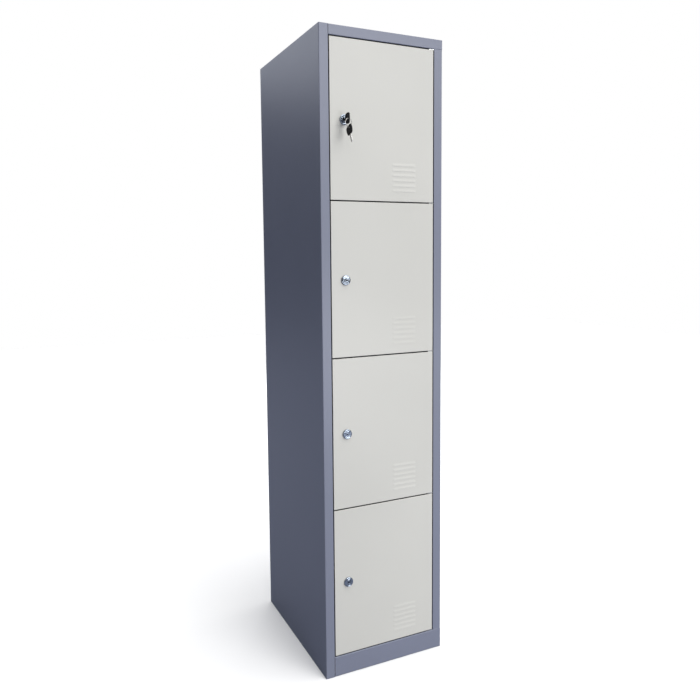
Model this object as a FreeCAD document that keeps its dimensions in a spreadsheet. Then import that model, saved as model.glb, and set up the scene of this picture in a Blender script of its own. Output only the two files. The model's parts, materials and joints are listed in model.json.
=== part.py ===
import FreeCAD, Part
import os
import re

import Sketcher

# A one-column steel locker with four equal doors, hinged on the right, each with a cam lock.
# Millimetres. +Z is up, +X is to the right of a person who faces the doors, which face -Y.
# The origin is on the floor at the middle of the back, where the floor meets the wall.

DOOR_COUNT = 4
LOUVRE_COUNT = 6
SCREW_ROWS = 6
BITTING_CUTS = 4

SIZES = {
    "cabinet_width": 390,
    "cabinet_depth": 500,
    "cabinet_height": 1850,
    "sheet": 0.8,
    "bend": 1.0,
    "corner_round": 0.6,
    "stile_width": 27,
    "rail_height": 28,
    "base_height": 60,
    "stile_return": 19,
    "lip_width": 12,
    "rear_flange": 15,
    "foot_flange": 15,
    "tray_flange": 26,
    "flange_gap": 3.2,
    "wall_fixing_radius": 4.5,
    "wall_fixing_x": 140,
    "wall_fixing_low": 250,
    "wall_fixing_high": 1650,
    "back_screw_inset": 8,
    "back_screw_margin": 70,
    "screw_shank_radius": 1.7,
    "screw_head_radius": 4,
    "screw_head_height": 1.8,
    "screw_head_round": 1.2,
    "screw_length": 9,
    "shelf_setback": 21.5,
    "shelf_front_flange": 20,
    "shelf_side_flange": 15,
    "side_gap": 3,
    "door_gap": 3.5,
    "door_depth": 16,
    "door_lip": 12,
    "door_lip_inset": 6,
    "pivot_inset": 10,
    "pivot_depth": 6,
    "pin_radius": 2.5,
    "pin_reach": 6.5,
    "bush_clearance": 0.05,
    "bush_radius": 3.6,
    "bush_flange_radius": 5.4,
    "bush_flange": 0.7,
    "bush_length": 4,
    "bracket_thick": 1.5,
    "bracket_half_width": 4.6,
    "bracket_end": 5.5,
    "bracket_leg": 22,
    "bracket_round": 4.1,
    "rivet_radius": 1.6,
    "rivet_head_radius": 3,
    "rivet_head": 0.7,
    "rivet_tail": 1,
    "rivet_tail_radius": 2.4,
    "rivet_first": 7,
    "rivet_pitch": 8,
    "louvre_left": 26,
    "louvre_width": 80,
    "louvre_first": 28,
    "louvre_pitch": 14.5,
    "louvre_rise": 8.5,
    "louvre_web": 2,
    "louvre_slot_rise": 6.1,
    "louvre_proud": 2,
    "stiffener_middle": -30,
    "stiffener_half": 20,
    "stiffener_foot": 10,
    "stiffener_depth": 11,
    "stiffener_inset": 12,
    "bumper_radius": 4,
    "bumper_height": 2.6,
    "bumper_round": 0.85,
    "bumper_inset": 40,
    "lock_inset": 43,
    "lock_head_radius": 14,
    "lock_head": 5,
    "lock_head_bevel": 1.6,
    "barrel_radius": 9,
    "barrel_flat": 8,
    "barrel_length": 24,
    "bore_radius": 6.25,
    "plug_radius": 6,
    "plug_recess": 0.4,
    "plug_rear": 24.3,
    "keyway_half_width": 1.3,
    "keyway_half_height": 3.8,
    "keyway_depth": 18,
    "tail_half": 4,
    "tail_short": 0.1,
    "nut_across_flats": 22,
    "nut_thick": 4,
    "cam_thick": 2,
    "cam_half_width": 8,
    "cam_hub_radius": 9,
    "cam_reach": 40,
    "cam_tip_round": 5,
    "cam_screw_radius": 1.8,
    "cam_screw_head_radius": 4.75,
    "cam_screw_head": 2.6,
    "cam_screw_round": 0.85,
    "cam_screw_end": 19.5,
    "cross_slot_half": 0.6,
    "cross_slot_reach": 2.6,
    "cross_slot_depth": 1.2,
    "blade_half_width": 1,
    "blade_half_height": 3.5,
    "blade_tip": 17,
    "blade_tang": 18,
    "bitting_first": 1,
    "bitting_pitch": 4,
    "bitting_depth": 1.5,
    "bow_inner": 8,
    "bow_outer": 34,
    "bow_half_height": 15,
    "bow_half_thick": 1.7,
    "bow_corner": 4.5,
    "bow_hole_reach": 29.5,
    "bow_hole_radius": 3,
    "ring_radius": 11,
    "ring_wire": 0.9,
    "ring_drop": 1.6,
    "ring_turn": 12,
    "spare_turn": 2,
    "spare_tilt": 24,
    "spare_hang": 1.6,
}

# Lengths that follow from the sizes above, in the same words.
DERIVED = {
    "half_width": "(cabinet_width / 2)",
    "wall_inside": "(half_width - sheet)",
    "opening_edge": "(half_width - stile_width)",
    "opening_top": "(cabinet_height - rail_height)",
    "fold": "(bend + sheet)",
    "door_half_width": "(opening_edge - side_gap)",
    "door_pitch": f"((opening_top - base_height - door_gap) / {DOOR_COUNT})",
    "door_half_height": "((door_pitch - door_gap) / 2)",
    "pivot_across": "(door_half_width - pivot_inset)",
    "lock_across": "(lock_inset - door_half_width)",
    "tray_side": "(wall_inside - sheet)",
    "shelf_front": "(shelf_setback - cabinet_depth)",
    "shelf_back": "(0 - 2 * sheet - bend)",
    "louvre_right": "(louvre_left + louvre_width)",
    "cam_rear": "(plug_rear + cam_thick)",
    "nut_corner": "(nut_across_flats / 2 / cos(30))",
}

FRONT = "0 - cabinet_depth"
INSIDE_FRONT = "sheet - cabinet_depth"

doc = FreeCAD.newDocument("locker_cabinet")
sizes = doc.addObject("Spreadsheet::Sheet", "sizes")


def fill_sheet():
    """Write each driving size into the sheet, with its name beside it as its alias."""
    for row, (name, number) in enumerate(SIZES.items(), start=1):
        sizes.set(f"A{row}", name)
        sizes.set(f"B{row}", str(number))
        sizes.setAlias(f"B{row}", name)
    doc.recompute()


def bind(formula):
    """Turn a formula written in size names into an expression on the sheet."""

    def look_up(match):
        word = match.group(0)
        if word in DERIVED:
            return bind(DERIVED[word])
        return f"sizes.{word}" if word in SIZES else word

    return re.sub(r"[a-z][a-z_]*", look_up, formula)


def number(formula):
    """Work a formula out from the sheet."""
    return float(sizes.evalExpression(bind(formula)))


def gap_level(gap):
    """Height of the middle of a gap: 0 is above the top door, DOOR_COUNT below the lowest."""
    return f"(opening_top - door_gap / 2 - door_pitch * {gap})"


def door_level(door):
    """Height of the middle of a door, counted from 1 at the top."""
    return gap_level(door - 0.5)


# ---- sketching and features ------------------------------------------------------------


def new_body(name, x="0", y="0", z="0"):
    """Start a named body whose own origin stands at x, y, z."""
    body = doc.addObject("PartDesign::Body", name)
    body.Label = name
    body.AllowCompound = True
    for axis, place in (("x", x), ("y", y), ("z", z)):
        body.setExpression(f"Placement.Base.{axis}", bind(place))
    return body


def box(x_low, y_low, x_high, y_high):
    """Corners of a rectangle."""
    return [(x_low, y_low), (x_high, y_low), (x_high, y_high), (x_low, y_high)]


def hold_point(sketch, curve, end, place):
    """Hold a point of the sketch at a place bound to the sheet."""
    for kind, formula in (("DistanceX", place[0]), ("DistanceY", place[1])):
        held = Sketcher.Constraint(kind, -1, 1, curve, end, number(formula))
        index = sketch.addConstraint(held)
        sketch.setExpression(f"Constraints[{index}]", bind(formula))


def draw_outline(sketch, corners):
    """Draw a closed outline of straight lines through bound corners."""
    places = [FreeCAD.Vector(number(x), number(y), 0) for x, y in corners]
    first = sketch.GeometryCount
    count = len(corners)
    for index in range(count):
        line = Part.LineSegment(places[index], places[(index + 1) % count])
        sketch.addGeometry(line, False)
    for index, corner in enumerate(corners):
        following = first + (index + 1) % count
        sketch.addConstraint(Sketcher.Constraint("Coincident", first + index, 2, following, 1))
        hold_point(sketch, first + index, 1, corner)


def draw_circle(sketch, x, y, radius):
    """Draw a circle with a bound centre and radius."""
    centre = FreeCAD.Vector(number(x), number(y), 0)
    upright = FreeCAD.Vector(0, 0, 1)
    curve = sketch.addGeometry(Part.Circle(centre, upright, number(radius)), False)
    index = sketch.addConstraint(Sketcher.Constraint("Radius", curve, number(radius)))
    sketch.setExpression(f"Constraints[{index}]", bind(radius))
    hold_point(sketch, curve, 3, (x, y))


def new_sketch(body, axis, level, shapes):
    """Draw shapes square to an axis: lists are outlines, tuples are circles (x, y, radius)."""
    role, sign = {"X": ("YZ_Plane", ""), "Y": ("XZ_Plane", "-"), "Z": ("XY_Plane", "")}[axis]
    plane = next(item for item in body.Origin.OriginFeatures if item.Role == role)
    sketch = body.newObject("Sketcher::SketchObject", f"{body.Name}_outline")
    sketch.AttachmentSupport = [(plane, "")]
    sketch.MapMode = "FlatFace"
    sketch.setExpression("AttachmentOffset.Base.z", f"{sign}({bind(level)})")
    for shape in shapes:
        if isinstance(shape, list):
            draw_outline(sketch, shape)
        else:
            draw_circle(sketch, *shape)
    return sketch


def pad(body, axis, low, high, *shapes):
    """Add the shapes as solid from low to high along an axis."""
    feature = body.newObject("PartDesign::Pad", f"{body.Name}_pad")
    feature.Profile = new_sketch(body, axis, low, shapes)
    feature.setExpression("Length", bind(f"({high}) - ({low})"))
    feature.Reversed = axis == "Y"
    body.Tip = feature
    doc.recompute()
    return feature


def pocket(body, axis, low, high, *shapes):
    """Cut the shapes out from low to high along an axis."""
    before = body.Shape.Volume
    feature = body.newObject("PartDesign::Pocket", f"{body.Name}_pocket")
    feature.Profile = new_sketch(body, axis, low if axis == "Y" else high, shapes)
    feature.setExpression("Length", bind(f"({high}) - ({low})"))
    body.Tip = feature
    doc.recompute()
    if body.Shape.Volume >= before:
        raise ValueError(f"{feature.Name} removes nothing")
    return feature


def revolve(body, corners):
    """Turn an outline of (along Y, radius) corners about the body's Y axis."""
    feature = body.newObject("PartDesign::Revolution", f"{body.Name}_turned")
    feature.Profile = new_sketch(body, "X", "0", [corners])
    feature.ReferenceAxis = (feature.Profile[0], ["H_Axis"])
    feature.Angle = 360
    body.Tip = feature
    doc.recompute()
    return feature


def edges_through(shape, axis, spots):
    """Names of the straight edges along an axis that pass through spots in the other two."""
    along = "XYZ".index(axis)
    across = [index for index in range(3) if index != along]
    found = []
    for index, edge in enumerate(shape.Edges, start=1):
        if not isinstance(edge.Curve, (Part.Line, Part.LineSegment)):
            continue
        ends = [vertex.Point for vertex in edge.Vertexes]
        for spot in spots:
            if all(abs(end[a] - b) < 0.01 for end in ends for a, b in zip(across, spot)):
                found.append(f"Edge{index}")
    return found


def round_edges(body, radius, axis, *spots):
    """Round the edges along an axis that pass through the given spots."""
    base = body.Tip
    places = [(number(first), number(second)) for first, second in spots]
    names = edges_through(base.Shape, axis, places)
    if not names:
        raise ValueError(f"{body.Name} has no edge along {axis} at {places}")
    feature = body.newObject("PartDesign::Fillet", f"{body.Name}_rounding")
    feature.Base = (base, names)
    feature.setExpression("Radius", bind(radius))
    body.Tip = feature
    doc.recompute()
    return feature


def round_rims(body, radius, level):
    """Round the circular edges that lie at a level along Y."""
    base = body.Tip
    names = []
    for index, edge in enumerate(base.Shape.Edges, start=1):
        flat = edge.BoundBox.YLength < 0.01 and abs(edge.BoundBox.YMin - number(level)) < 0.01
        if flat and isinstance(edge.Curve, Part.Circle):
            names.append(f"Edge{index}")
    feature = body.newObject("PartDesign::Fillet", f"{body.Name}_rim")
    feature.Base = (base, names)
    feature.setExpression("Radius", bind(radius))
    body.Tip = feature
    doc.recompute()
    return feature


# ---- carcass ---------------------------------------------------------------------------


def mirrored(side, corners):
    """Put corners given by their distance from the middle on one side of the cabinet."""
    return [(f"{side} * ({x})", y) for x, y in corners]


def back_screw_places():
    """Where the back panel is screwed to the flanges that it covers, as (x, z)."""
    span = f"(opening_top - base_height - 2 * back_screw_margin) / {SCREW_ROWS - 1}"
    places = []
    for side in (-1, 1):
        for row in range(SCREW_ROWS):
            level = f"base_height + back_screw_margin + {row} * {span}"
            places.append((f"{side} * (half_width - back_screw_inset)", level))
    for across in (-1, 0, 1):
        places.append((f"{across} * half_width / 2", "opening_top + tray_flange / 2"))
        places.append((f"{across} * half_width / 2", "base_height - tray_flange / 2"))
    return places


def screw_holes(body, low, high, places):
    """Cut the back panel's screw holes through a sheet."""
    circles = [(x, z, "screw_shank_radius") for x, z in places]
    pocket(body, "Y", low, high, *circles)


def side_panel(name, side):
    """Side wall with its front stile, rear flange and foot flange; side is -1 for left."""
    body = new_body(name)
    wall = [
        ("half_width", FRONT),
        ("opening_edge", FRONT),
        ("opening_edge", INSIDE_FRONT),
        ("wall_inside", INSIDE_FRONT),
        ("wall_inside", "-sheet"),
        ("half_width", "-sheet"),
    ]
    pad(body, "Z", "0", "cabinet_height", mirrored(side, wall))
    round_edges(body, "fold", "Z", (f"{side} * half_width", FRONT))
    round_edges(body, "bend", "Z", (f"{side} * wall_inside", INSIDE_FRONT))
    round_edges(body, "corner_round", "Z", (f"{side} * opening_edge", FRONT))
    lip_front = "stile_return - cabinet_depth"
    lip_back = "stile_return + sheet - cabinet_depth"
    if side < 0:
        stop = [
            ("opening_edge + sheet", INSIDE_FRONT),
            ("opening_edge", INSIDE_FRONT),
            ("opening_edge", lip_front),
            ("opening_edge - lip_width", lip_front),
            ("opening_edge - lip_width", lip_back),
            ("opening_edge + sheet", lip_back),
        ]
    else:
        stop = box("opening_edge", INSIDE_FRONT, "opening_edge + sheet", lip_back)
    pad(body, "Z", "base_height", "opening_top", mirrored(side, stop))
    if side < 0:
        round_edges(body, "fold", "Z", (f"{side} * (opening_edge + sheet)", lip_back))
        round_edges(body, "bend", "Z", (f"{side} * opening_edge", lip_front))
    rear = box("half_width - rear_flange", "-2 * sheet", "half_width", "-sheet")
    pad(body, "Z", "base_height", "opening_top", mirrored(side, rear))
    foot = box("half_width - foot_flange", "fold + foot_flange - cabinet_depth",
               "half_width", "-fold - foot_flange")
    pad(body, "Z", "0", "sheet", mirrored(side, foot))
    own = [(x, z) for x, z in back_screw_places() if side * number(x) > number("wall_fixing_x")]
    screw_holes(body, "-2 * sheet", "-sheet", own)
    return body


def left_side_panel():
    """Left wall; its stile runs the full height and carries the doors' stop lip."""
    side_panel("left_side_panel", -1)


def bracket_side(gap):
    """Direction of a hinge bracket's leg from its gap: up from the lowest gap, else down."""
    return 1 if gap == DOOR_COUNT else -1


def rivet_places():
    """Where the hinge brackets are riveted to the right stile's return, as (y, z)."""
    places = []
    for gap in range(DOOR_COUNT + 1):
        for step in (0, 1):
            drop = f"{bracket_side(gap)} * (rivet_first + {step} * rivet_pitch)"
            places.append(("pivot_depth - cabinet_depth", f"{gap_level(gap)} + {drop}"))
    return places


def right_side_panel():
    """Right wall; its stile is cut back for the rail and kick plate and takes the hinges."""
    body = side_panel("right_side_panel", 1)
    beyond = "half_width + sheet"
    cut_back = [
        ("opening_edge - sheet", "-cabinet_depth - sheet"),
        (beyond, "-cabinet_depth - sheet"),
        (beyond, INSIDE_FRONT),
        ("wall_inside", INSIDE_FRONT),
        ("wall_inside", "fold - cabinet_depth"),
        ("opening_edge - sheet", "fold - cabinet_depth"),
    ]
    pocket(body, "Z", "opening_top", "cabinet_height", cut_back)
    pocket(body, "Z", "0", "base_height", cut_back)
    middle = "pivot_depth - cabinet_depth"
    slots = []
    for gap in range(DOOR_COUNT + 1):
        slots.append(box(f"{middle} - bracket_half_width",
                         f"{gap_level(gap)} - bracket_thick / 2",
                         f"{middle} + bracket_half_width",
                         f"{gap_level(gap)} + bracket_thick / 2"))
    pocket(body, "X", "opening_edge", "opening_edge + sheet", *slots)
    holes = [(y, z, "rivet_radius") for y, z in rivet_places()]
    pocket(body, "X", "opening_edge", "opening_edge + sheet", *holes)


def tray(name, profile, folds, flange_low, flange_high, plate_low, plate_high):
    """Folded panel between the side walls, with its front face over the right wall's edge."""
    body = new_body(name)
    pad(body, "X", "-opening_edge", "half_width", profile)
    for radius, spot in folds:
        round_edges(body, radius, "X", spot)
    over_wall = box(INSIDE_FRONT, "-sheet", "0", "cabinet_height + sheet")
    pocket(body, "X", "wall_inside", "half_width", over_wall)
    behind_stile = box("-wall_inside", INSIDE_FRONT, "-opening_edge", "-sheet")
    pad(body, "Z", plate_low, plate_high, behind_stile)
    round_edges(body, "fold", "Z", ("-wall_inside", INSIDE_FRONT))
    flange = box("rear_flange - cabinet_depth", flange_low, "-flange_gap", flange_high)
    pad(body, "X", "-wall_inside", "-tray_side", flange)
    pad(body, "X", "tray_side", "wall_inside", flange)
    rear = box("-tray_side", flange_low, "tray_side", flange_high)
    pad(body, "Y", "-2 * sheet", "-sheet", rear)
    return body


def top_panel():
    """Roof with the front rail above the doors."""
    roof = "cabinet_height - sheet"
    rail_back = "stile_return + sheet - cabinet_depth"
    profile = [
        (FRONT, "opening_top"),
        (FRONT, "cabinet_height"),
        ("-sheet", "cabinet_height"),
        ("-sheet", roof),
        (INSIDE_FRONT, roof),
        (INSIDE_FRONT, "opening_top + sheet"),
        (rail_back, "opening_top + sheet"),
        (rail_back, "opening_top"),
    ]
    folds = [
        ("fold", (FRONT, "cabinet_height")),
        ("bend", (INSIDE_FRONT, roof)),
        ("fold", (FRONT, "opening_top")),
        ("bend", (INSIDE_FRONT, "opening_top + sheet")),
    ]
    body = tray("top_panel", profile, folds, "opening_top + sheet", roof, roof, "cabinet_height")
    own = [(x, z) for x, z in back_screw_places() if number(z) > number("opening_top")]
    screw_holes(body, "-2 * sheet", "-sheet", own)


def bottom_panel():
    """Floor of the lowest compartment with the kick plate below it."""
    floor = "base_height - sheet"
    foot_back = "foot_flange - cabinet_depth"
    profile = [
        (FRONT, "0"),
        (FRONT, "base_height"),
        ("-sheet", "base_height"),
        ("-sheet", floor),
        (INSIDE_FRONT, floor),
        (INSIDE_FRONT, "sheet"),
        (foot_back, "sheet"),
        (foot_back, "0"),
    ]
    folds = [
        ("fold", (FRONT, "base_height")),
        ("bend", (INSIDE_FRONT, floor)),
        ("fold", (FRONT, "0")),
        ("bend", (INSIDE_FRONT, "sheet")),
    ]
    body = tray("bottom_panel", profile, folds, "base_height - tray_flange", floor,
                floor, "base_height")
    own = [(x, z) for x, z in back_screw_places() if number(z) < number("base_height")]
    screw_holes(body, "-2 * sheet", "-sheet", own)


def back_panel():
    """Flat back with a turned-in foot and four holes for fixing to a wall."""
    body = new_body("back_panel")
    pad(body, "Y", "-sheet", "0", box("-wall_inside", "0", "wall_inside", "cabinet_height"))
    pad(body, "Z", "0", "sheet", box("-wall_inside", "-foot_flange", "wall_inside", "-sheet"))
    round_edges(body, "fold", "X", ("0", "0"))
    screw_holes(body, "-sheet", "0", back_screw_places())
    fixings = []
    for side in (-1, 1):
        for level in ("wall_fixing_low", "wall_fixing_high"):
            fixings.append((f"{side} * wall_fixing_x", level, "wall_fixing_radius"))
    pocket(body, "Y", "-sheet", "0", *fixings)


def back_panel_screws():
    """Pan-head screws that hold the back panel, as one group."""
    body = new_body("back_panel_screws")
    heads = [(x, z, "screw_head_radius") for x, z in back_screw_places()]
    shanks = [(x, z, "screw_shank_radius") for x, z in back_screw_places()]
    pad(body, "Y", "0", "screw_head_height", *heads)
    round_rims(body, "screw_head_round", "screw_head_height")
    pad(body, "Y", "-screw_length", "0", *shanks)


def shelf(index):
    """Compartment floor behind the gap between two doors, folded down on all four sides."""
    body = new_body(f"shelf_{index}", z=gap_level(index))
    front_in = "shelf_front + sheet"
    hem_back = "shelf_front + shelf_side_flange / 2"
    profile = [
        ("shelf_front", "-shelf_front_flange"),
        ("shelf_front", "0"),
        ("shelf_back", "0"),
        ("shelf_back", "-shelf_side_flange"),
        ("shelf_back - sheet", "-shelf_side_flange"),
        ("shelf_back - sheet", "-sheet"),
        (front_in, "-sheet"),
        (front_in, "sheet - shelf_front_flange"),
        (hem_back, "sheet - shelf_front_flange"),
        (hem_back, "-shelf_front_flange"),
    ]
    pad(body, "X", "-wall_inside", "wall_inside", profile)
    outer = [("shelf_front", "-shelf_front_flange"), ("shelf_front", "0"), ("shelf_back", "0")]
    inner = [("shelf_back - sheet", "-sheet"), (front_in, "-sheet")]
    round_edges(body, "fold", "X", *outer)
    round_edges(body, "bend", "X", *inner)
    flange = box("shelf_front + shelf_side_flange", "-shelf_side_flange",
                 "shelf_back - flange_gap", "-sheet / 2")
    pad(body, "X", "-wall_inside", "-tray_side", flange)
    pad(body, "X", "tray_side", "wall_inside", flange)


# ---- hinges ----------------------------------------------------------------------------


def hinge_bracket(gap):
    """Steel tongue in a door gap that carries a pivot pin, with a leg behind the stile."""
    body = new_body(f"hinge_bracket_{gap + 1}", y="pivot_depth - cabinet_depth",
                    z=gap_level(gap))
    leg_back = "opening_edge + sheet + bracket_thick"
    end = "pivot_across - bracket_end"
    tongue = box(end, "-bracket_half_width", leg_back, "bracket_half_width")
    pad(body, "Z", "-bracket_thick / 2", "bracket_thick / 2", tongue)
    round_edges(body, "bracket_round", "Z", (end, "-bracket_half_width"),
                (end, "bracket_half_width"))
    if bracket_side(gap) > 0:
        low, high = "-bracket_thick / 2", "bracket_leg"
    else:
        low, high = "-bracket_leg", "bracket_thick / 2"
    leg = box("-bracket_half_width", low, "bracket_half_width", high)
    pad(body, "X", "opening_edge + sheet", leg_back, leg)
    pocket(body, "Z", "-bracket_thick / 2", "bracket_thick / 2", ("pivot_across", "0", "pin_radius"))
    holes = []
    for step in (0, 1):
        level = f"{bracket_side(gap)} * (rivet_first + {step} * rivet_pitch)"
        holes.append(("0", level, "rivet_radius"))
    pocket(body, "X", "opening_edge + sheet", leg_back, *holes)


def hinge_pins():
    """Pivot pins, one through each bracket, as one group."""
    body = new_body("hinge_pins", x="pivot_across", y="pivot_depth - cabinet_depth")
    for gap in range(DOOR_COUNT + 1):
        up = "bracket_thick / 2" if gap == 0 else "pin_reach"
        down = "bracket_thick / 2" if gap == DOOR_COUNT else "pin_reach"
        pad(body, "Z", f"{gap_level(gap)} - {down}", f"{gap_level(gap)} + {up}",
            ("0", "0", "pin_radius"))


def hinge_rivets():
    """Rivets that hold the hinge brackets, as one group."""
    body = new_body("hinge_rivets")
    behind = "opening_edge + sheet + bracket_thick"
    heads = [(y, z, "rivet_head_radius") for y, z in rivet_places()]
    shanks = [(y, z, "rivet_radius") for y, z in rivet_places()]
    tails = [(y, z, "rivet_tail_radius") for y, z in rivet_places()]
    pad(body, "X", "opening_edge - rivet_head", "opening_edge", *heads)
    pad(body, "X", "opening_edge", behind, *shanks)
    pad(body, "X", behind, f"{behind} + rivet_tail", *tails)


def door_bushes(door):
    """Flanged nylon bushes in the door's top and bottom returns, as one pair."""
    body = new_body(f"door_bushes_{door}", x="pivot_across", y="pivot_depth - cabinet_depth",
                    z=door_level(door))
    bore = ("0", "0", "pin_radius + bush_clearance")
    for end in (-1, 1):
        inner, edge = f"{end} * (door_half_height - bush_length)", f"{end} * door_half_height"
        outer = f"{end} * (door_half_height + bush_flange)"
        sleeve = (inner, edge) if end > 0 else (edge, inner)
        flange = (edge, outer) if end > 0 else (outer, edge)
        pad(body, "Z", *sleeve, ("0", "0", "bush_radius"), bore)
        pad(body, "Z", *flange, ("0", "0", "bush_flange_radius"), bore)


# ---- doors -----------------------------------------------------------------------------


def door_skin(door):
    """Folded door pan with a row of louvres low on its hinge side."""
    body = new_body(f"door_skin_{door}", y=FRONT, z=door_level(door))
    right, top = "door_half_width", "door_half_height"
    pad(body, "Y", "0", "door_depth", box(f"-{right}", f"-{top}", right, top))
    round_edges(body, "fold", "X", ("0", top), ("0", f"-{top}"))
    round_edges(body, "fold", "Z", (right, "0"), (f"-{right}", "0"))
    inside = box(f"sheet - {right}", f"sheet - {top}", f"{right} - sheet", f"{top} - sheet")
    pocket(body, "Y", "sheet", "door_depth", inside)
    lip_top = f"({top} - door_lip_inset)"
    left_lip = box(f"-{right}", f"-{lip_top}", f"door_lip - {right}", lip_top)
    right_lip = box(f"{right} - door_lip", f"-{lip_top}", right, lip_top)
    pad(body, "Y", "door_depth - sheet", "door_depth", left_lip, right_lip)
    pocket(body, "Y", "0", "sheet", ("lock_across", "0", "barrel_radius"))
    hinge_hole = ("pivot_across", "pivot_depth", "bush_radius")
    pocket(body, "Z", f"-{top}", top, hinge_hole)
    add_louvres(body)


def add_louvres(body):
    """Press out hooded louvres whose mouths face down, and open the slots behind them."""
    hoods, cheeks, slots = [], [], []
    for row in range(LOUVRE_COUNT):
        foot = f"(louvre_first + {row} * louvre_pitch - door_half_height)"
        head = f"{foot} + louvre_rise"
        hoods.append([
            ("0", head),
            ("-louvre_proud", f"{foot} + sheet"),
            ("-louvre_proud", foot),
            ("sheet - louvre_proud", foot),
            ("sheet - louvre_proud", f"{foot} + sheet"),
            ("0", f"{head} - louvre_web"),
        ])
        cheeks.append([
            ("0", head),
            ("-louvre_proud", f"{foot} + sheet"),
            ("-louvre_proud", foot),
            ("0", foot),
        ])
        slots.append(box("louvre_left + sheet", foot, "louvre_right - sheet",
                         f"{foot} + louvre_slot_rise"))
    pad(body, "X", "louvre_left", "louvre_right", *hoods)
    pad(body, "X", "louvre_left", "louvre_left + sheet", *cheeks)
    pad(body, "X", "louvre_right - sheet", "louvre_right", *cheeks)
    pocket(body, "Y", "0", "sheet", *slots)


def door_stiffener(door):
    """Hat channel welded upright to the inside of the door."""
    body = new_body(f"door_stiffener_{door}", x="stiffener_middle", y=FRONT, z=door_level(door))
    half, foot, ridge = "stiffener_half", "stiffener_half + stiffener_foot", "sheet + stiffener_depth"
    web_in = f"{half} - sheet"
    right_side = [
        (web_in, "stiffener_depth"),
        (web_in, "sheet"),
        (foot, "sheet"),
        (foot, "2 * sheet"),
        (half, "2 * sheet"),
        (half, ridge),
    ]
    left_side = [(f"-({x})", y) for x, y in reversed(right_side)]
    length = "door_half_height - stiffener_inset"
    pad(body, "Z", f"-({length})", length, right_side + left_side)


def door_bumpers():
    """Rubber stops on the left stile's lip, two behind each door, as one group."""
    body = new_body("door_bumpers")
    spots = []
    for door in range(1, DOOR_COUNT + 1):
        for end in (-1, 1):
            level = f"{door_level(door)} + {end} * (door_half_height - bumper_inset)"
            spots.append(("lip_width / 2 - opening_edge", level, "bumper_radius"))
    lip = "stile_return - cabinet_depth"
    pad(body, "Y", f"{lip} - bumper_height", lip, *spots)
    round_rims(body, "bumper_round", f"{lip} - bumper_height")


# ---- locks -----------------------------------------------------------------------------


def lock_body(name, door):
    """Start a body whose Y axis is a door's lock axis, with its origin on the door's face."""
    return new_body(f"{name}_{door}", x="lock_across", y=FRONT, z=door_level(door))


def lock_housing(door):
    """Round head and flatted barrel that are fixed in the door."""
    body = lock_body("lock_housing", door)
    revolve(body, [
        ("-lock_head", "bore_radius"),
        ("-lock_head", "lock_head_radius - lock_head_bevel"),
        ("lock_head_bevel - lock_head", "lock_head_radius"),
        ("0", "lock_head_radius"),
        ("0", "barrel_radius"),
        ("barrel_length", "barrel_radius"),
        ("barrel_length", "bore_radius"),
    ])
    upper = box("-barrel_radius", "barrel_flat", "barrel_radius", "barrel_radius")
    lower = box("-barrel_radius", "-barrel_radius", "barrel_radius", "-barrel_flat")
    pocket(body, "Y", "sheet", "barrel_length", upper, lower)


def lock_nut(door):
    """Thin hexagon nut that clamps the housing to the door."""
    body = lock_body("lock_nut", door)
    corners = []
    for step in range(6):
        corners.append((f"nut_corner * cos({60 * step})", f"nut_corner * sin({60 * step})"))
    pad(body, "Y", "sheet", "sheet + nut_thick", corners, ("0", "0", "barrel_radius"))


def lock_plug(door):
    """Keyed plug that turns in the housing, with a square tail for the cam."""
    body = lock_body("lock_plug", door)
    face = "(plug_recess - lock_head)"
    pad(body, "Y", face, "plug_rear", ("0", "0", "plug_radius"))
    tail = box("-tail_half", "-tail_half", "tail_half", "tail_half")
    pad(body, "Y", "plug_rear", "cam_rear - tail_short", tail)
    keyway = box("-keyway_half_width", "-keyway_half_height",
                 "keyway_half_width", "keyway_half_height")
    pocket(body, "Y", face, "keyway_depth", keyway)
    pocket(body, "Y", "cam_screw_end", "cam_rear", ("0", "0", "cam_screw_radius"))


def lock_cam(door):
    """Flat cam on the plug's tail; it hangs down when unlocked."""
    body = lock_body("lock_cam", door)
    pad(body, "Y", "plug_rear", "cam_rear", ("0", "0", "cam_hub_radius"))
    arm = box("-cam_half_width", "-cam_reach", "cam_half_width", "0")
    pad(body, "Y", "plug_rear", "cam_rear", arm)
    round_edges(body, "cam_tip_round", "Y", ("-cam_half_width", "-cam_reach"),
                ("cam_half_width", "-cam_reach"))
    tail = box("-tail_half", "-tail_half", "tail_half", "tail_half")
    pocket(body, "Y", "plug_rear", "cam_rear", tail)


def cam_screw(door):
    """Cross-head screw that holds the cam on the plug."""
    body = lock_body("cam_screw", door)
    head_back = "cam_rear + cam_screw_head"
    pad(body, "Y", "cam_rear", head_back, ("0", "0", "cam_screw_head_radius"))
    round_rims(body, "cam_screw_round", head_back)
    pad(body, "Y", "cam_screw_end", "cam_rear", ("0", "0", "cam_screw_radius"))
    half, reach = "cross_slot_half", "cross_slot_reach"
    for across in (box(f"-{half}", f"-{reach}", half, reach), box(f"-{reach}", f"-{half}", reach, half)):
        pocket(body, "Y", f"{head_back} - cross_slot_depth", head_back, across)


# ---- keys ------------------------------------------------------------------------------


def key_blade(name, placement):
    """Flat steel key blade with its bitting along one edge."""
    body = doc.addObject("PartDesign::Body", name)
    body.Label = name
    half = "blade_half_height"
    edge = [("-blade_tang", half), (f"blade_tip - {half}", half), ("blade_tip", "0")]
    edge.append((f"blade_tip - {half}", f"-{half}"))
    for cut in range(BITTING_CUTS):
        start = f"blade_tip - {half} - bitting_first - {cut} * bitting_pitch"
        edge.append((start, f"-{half}"))
        edge.append((f"{start} - bitting_depth", f"bitting_depth - {half}"))
        edge.append((f"{start} - 2 * bitting_depth", f"-{half}"))
    edge.append(("-blade_tang", f"-{half}"))
    pad(body, "X", "-blade_half_width", "blade_half_width", edge)
    body.Placement = placement


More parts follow.
